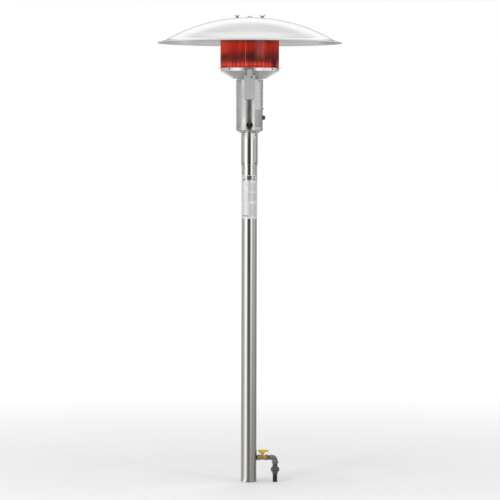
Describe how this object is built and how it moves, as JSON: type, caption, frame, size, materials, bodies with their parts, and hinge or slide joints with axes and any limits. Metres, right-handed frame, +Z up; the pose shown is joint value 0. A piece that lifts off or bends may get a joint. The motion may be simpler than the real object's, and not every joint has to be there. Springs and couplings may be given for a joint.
{
  "type": "outdoor gas patio heater",
  "caption": "Permanent gas patio heater: upright steel post, control housing, glowing cylindrical emitter, domed reflector and a shut-off valve at its foot.",
  "frame": {"origin": "on the post's axis at ground level, at the centre of the heater's footprint under the reflector", "axes": "+Z up along the post; the control knob faces -Y and the gas line leaves towards +X"},
  "size_m": [0.864, 0.864, 2.1908],
  "materials": {
    "bright_sheet": "bright polished spun sheet",
    "polished_steel": "polished stainless tube",
    "hammered_steel": "fine stucco-embossed stainless sheet",
    "satin_steel": "satin stainless sheet and machined steel",
    "fastener_steel": "plated screws, studs and nuts",
    "glowing_screen": "perforated heat-resisting screen glowing dull red",
    "black_plastic": "moulded black plastic",
    "brass": "cast and machined brass, slightly dull",
    "ball_steel": "plated ball",
    "yellow_handle": "moulded yellow handle",
    "black_pipe": "black lacquered steel pipe",
    "malleable_iron": "sand-cast malleable iron fittings",
    "copper_tube": "drawn copper tube",
    "white_ceramic": "white electrode ceramic",
    "black_rubber": "matt black grommet rubber",
    "label_foil": "blank silver foil label"
  },
  "bodies": {
    "heater": {"reflector": "bright_sheet", "reflector_stud_1": "fastener_steel", "reflector_stud_2": "fastener_steel", "reflector_stud_3": "fastener_steel", "reflector_wing_nut_1": "fastener_steel", "reflector_wing_nut_2": "fastener_steel", "reflector_wing_nut_3": "fastener_steel", "emitter_cap": "satin_steel", "emitter_screen": "glowing_screen", "emitter_base_ring": "satin_steel", "burner_pan": "satin_steel", "pan_screw_1": "fastener_steel", "pan_screw_2": "fastener_steel", "pan_screw_3": "fastener_steel", "burner_tube": "satin_steel", "gas_control_valve": "satin_steel", "gas_outlet_tube": "copper_tube", "orifice_fitting": "brass", "pilot_tube": "copper_tube", "pilot_burner": "brass", "thermocouple": "copper_tube", "spark_electrode": "white_ceramic", "igniter_body": "black_plastic", "housing_top_plate": "satin_steel", "control_housing": "hammered_steel", "side_panel": "satin_steel", "housing_base": "hammered_steel", "housing_screw_1": "fastener_steel", "housing_screw_2": "fastener_steel", "housing_screw_3": "fastener_steel", "housing_screw_4": "fastener_steel", "side_panel_screw": "fastener_steel", "pilot_cover": "satin_steel", "pilot_cover_neck": "satin_steel", "pilot_cover_screw": "fastener_steel", "post": "polished_steel", "head_sleeve": "polished_steel", "sleeve_screw_1": "fastener_steel", "sleeve_screw_2": "fastener_steel", "sleeve_screw_3": "fastener_steel", "sleeve_screw_4": "fastener_steel", "rating_label": "label_foil", "pipe_grommet": "black_rubber", "gas_supply_tube": "copper_tube", "valve_nipple": "black_pipe", "ball_valve_body": "brass", "elbow": "malleable_iron", "union_upper": "malleable_iron", "union_nut": "malleable_iron", "union_lower": "malleable_iron", "riser_pipe": "black_pipe"},
    "valve_lever": {"valve_handle": "yellow_handle", "handle_screw": "fastener_steel", "valve_stem": "brass", "valve_ball": "ball_steel"},
    "spindle": {"valve_spindle": "satin_steel"},
    "knob": {"control_knob": "black_plastic", "knob_stem": "satin_steel"},
    "igniter": {"igniter_button": "black_plastic"}
  },
  "joints": [
    {"name": "valve_turn", "type": "hinge", "parent": "heater", "child": "valve_lever", "pos_m": [0.0645, 0, 0.14], "axis": [0, 0, 1], "range_deg": [-90, 0]},
    {"name": "knob_turn", "type": "hinge", "parent": "heater", "child": "spindle", "pos_m": [0, -0.06, 1.6766], "axis": [0, -1, 0], "range_deg": [-90, 90]},
    {"name": "knob_push", "type": "slide", "parent": "spindle", "child": "knob", "axis": [0, 1, 0], "range_m": [0, 0.004], "stiffness_N_per_m": 800, "springref_m": -0.004},
    {"name": "igniter_push", "type": "slide", "parent": "heater", "child": "igniter", "axis": [-1, 0, 0], "range_m": [0, 0.004], "stiffness_N_per_m": 1500, "springref_m": -0.004}
  ]
}
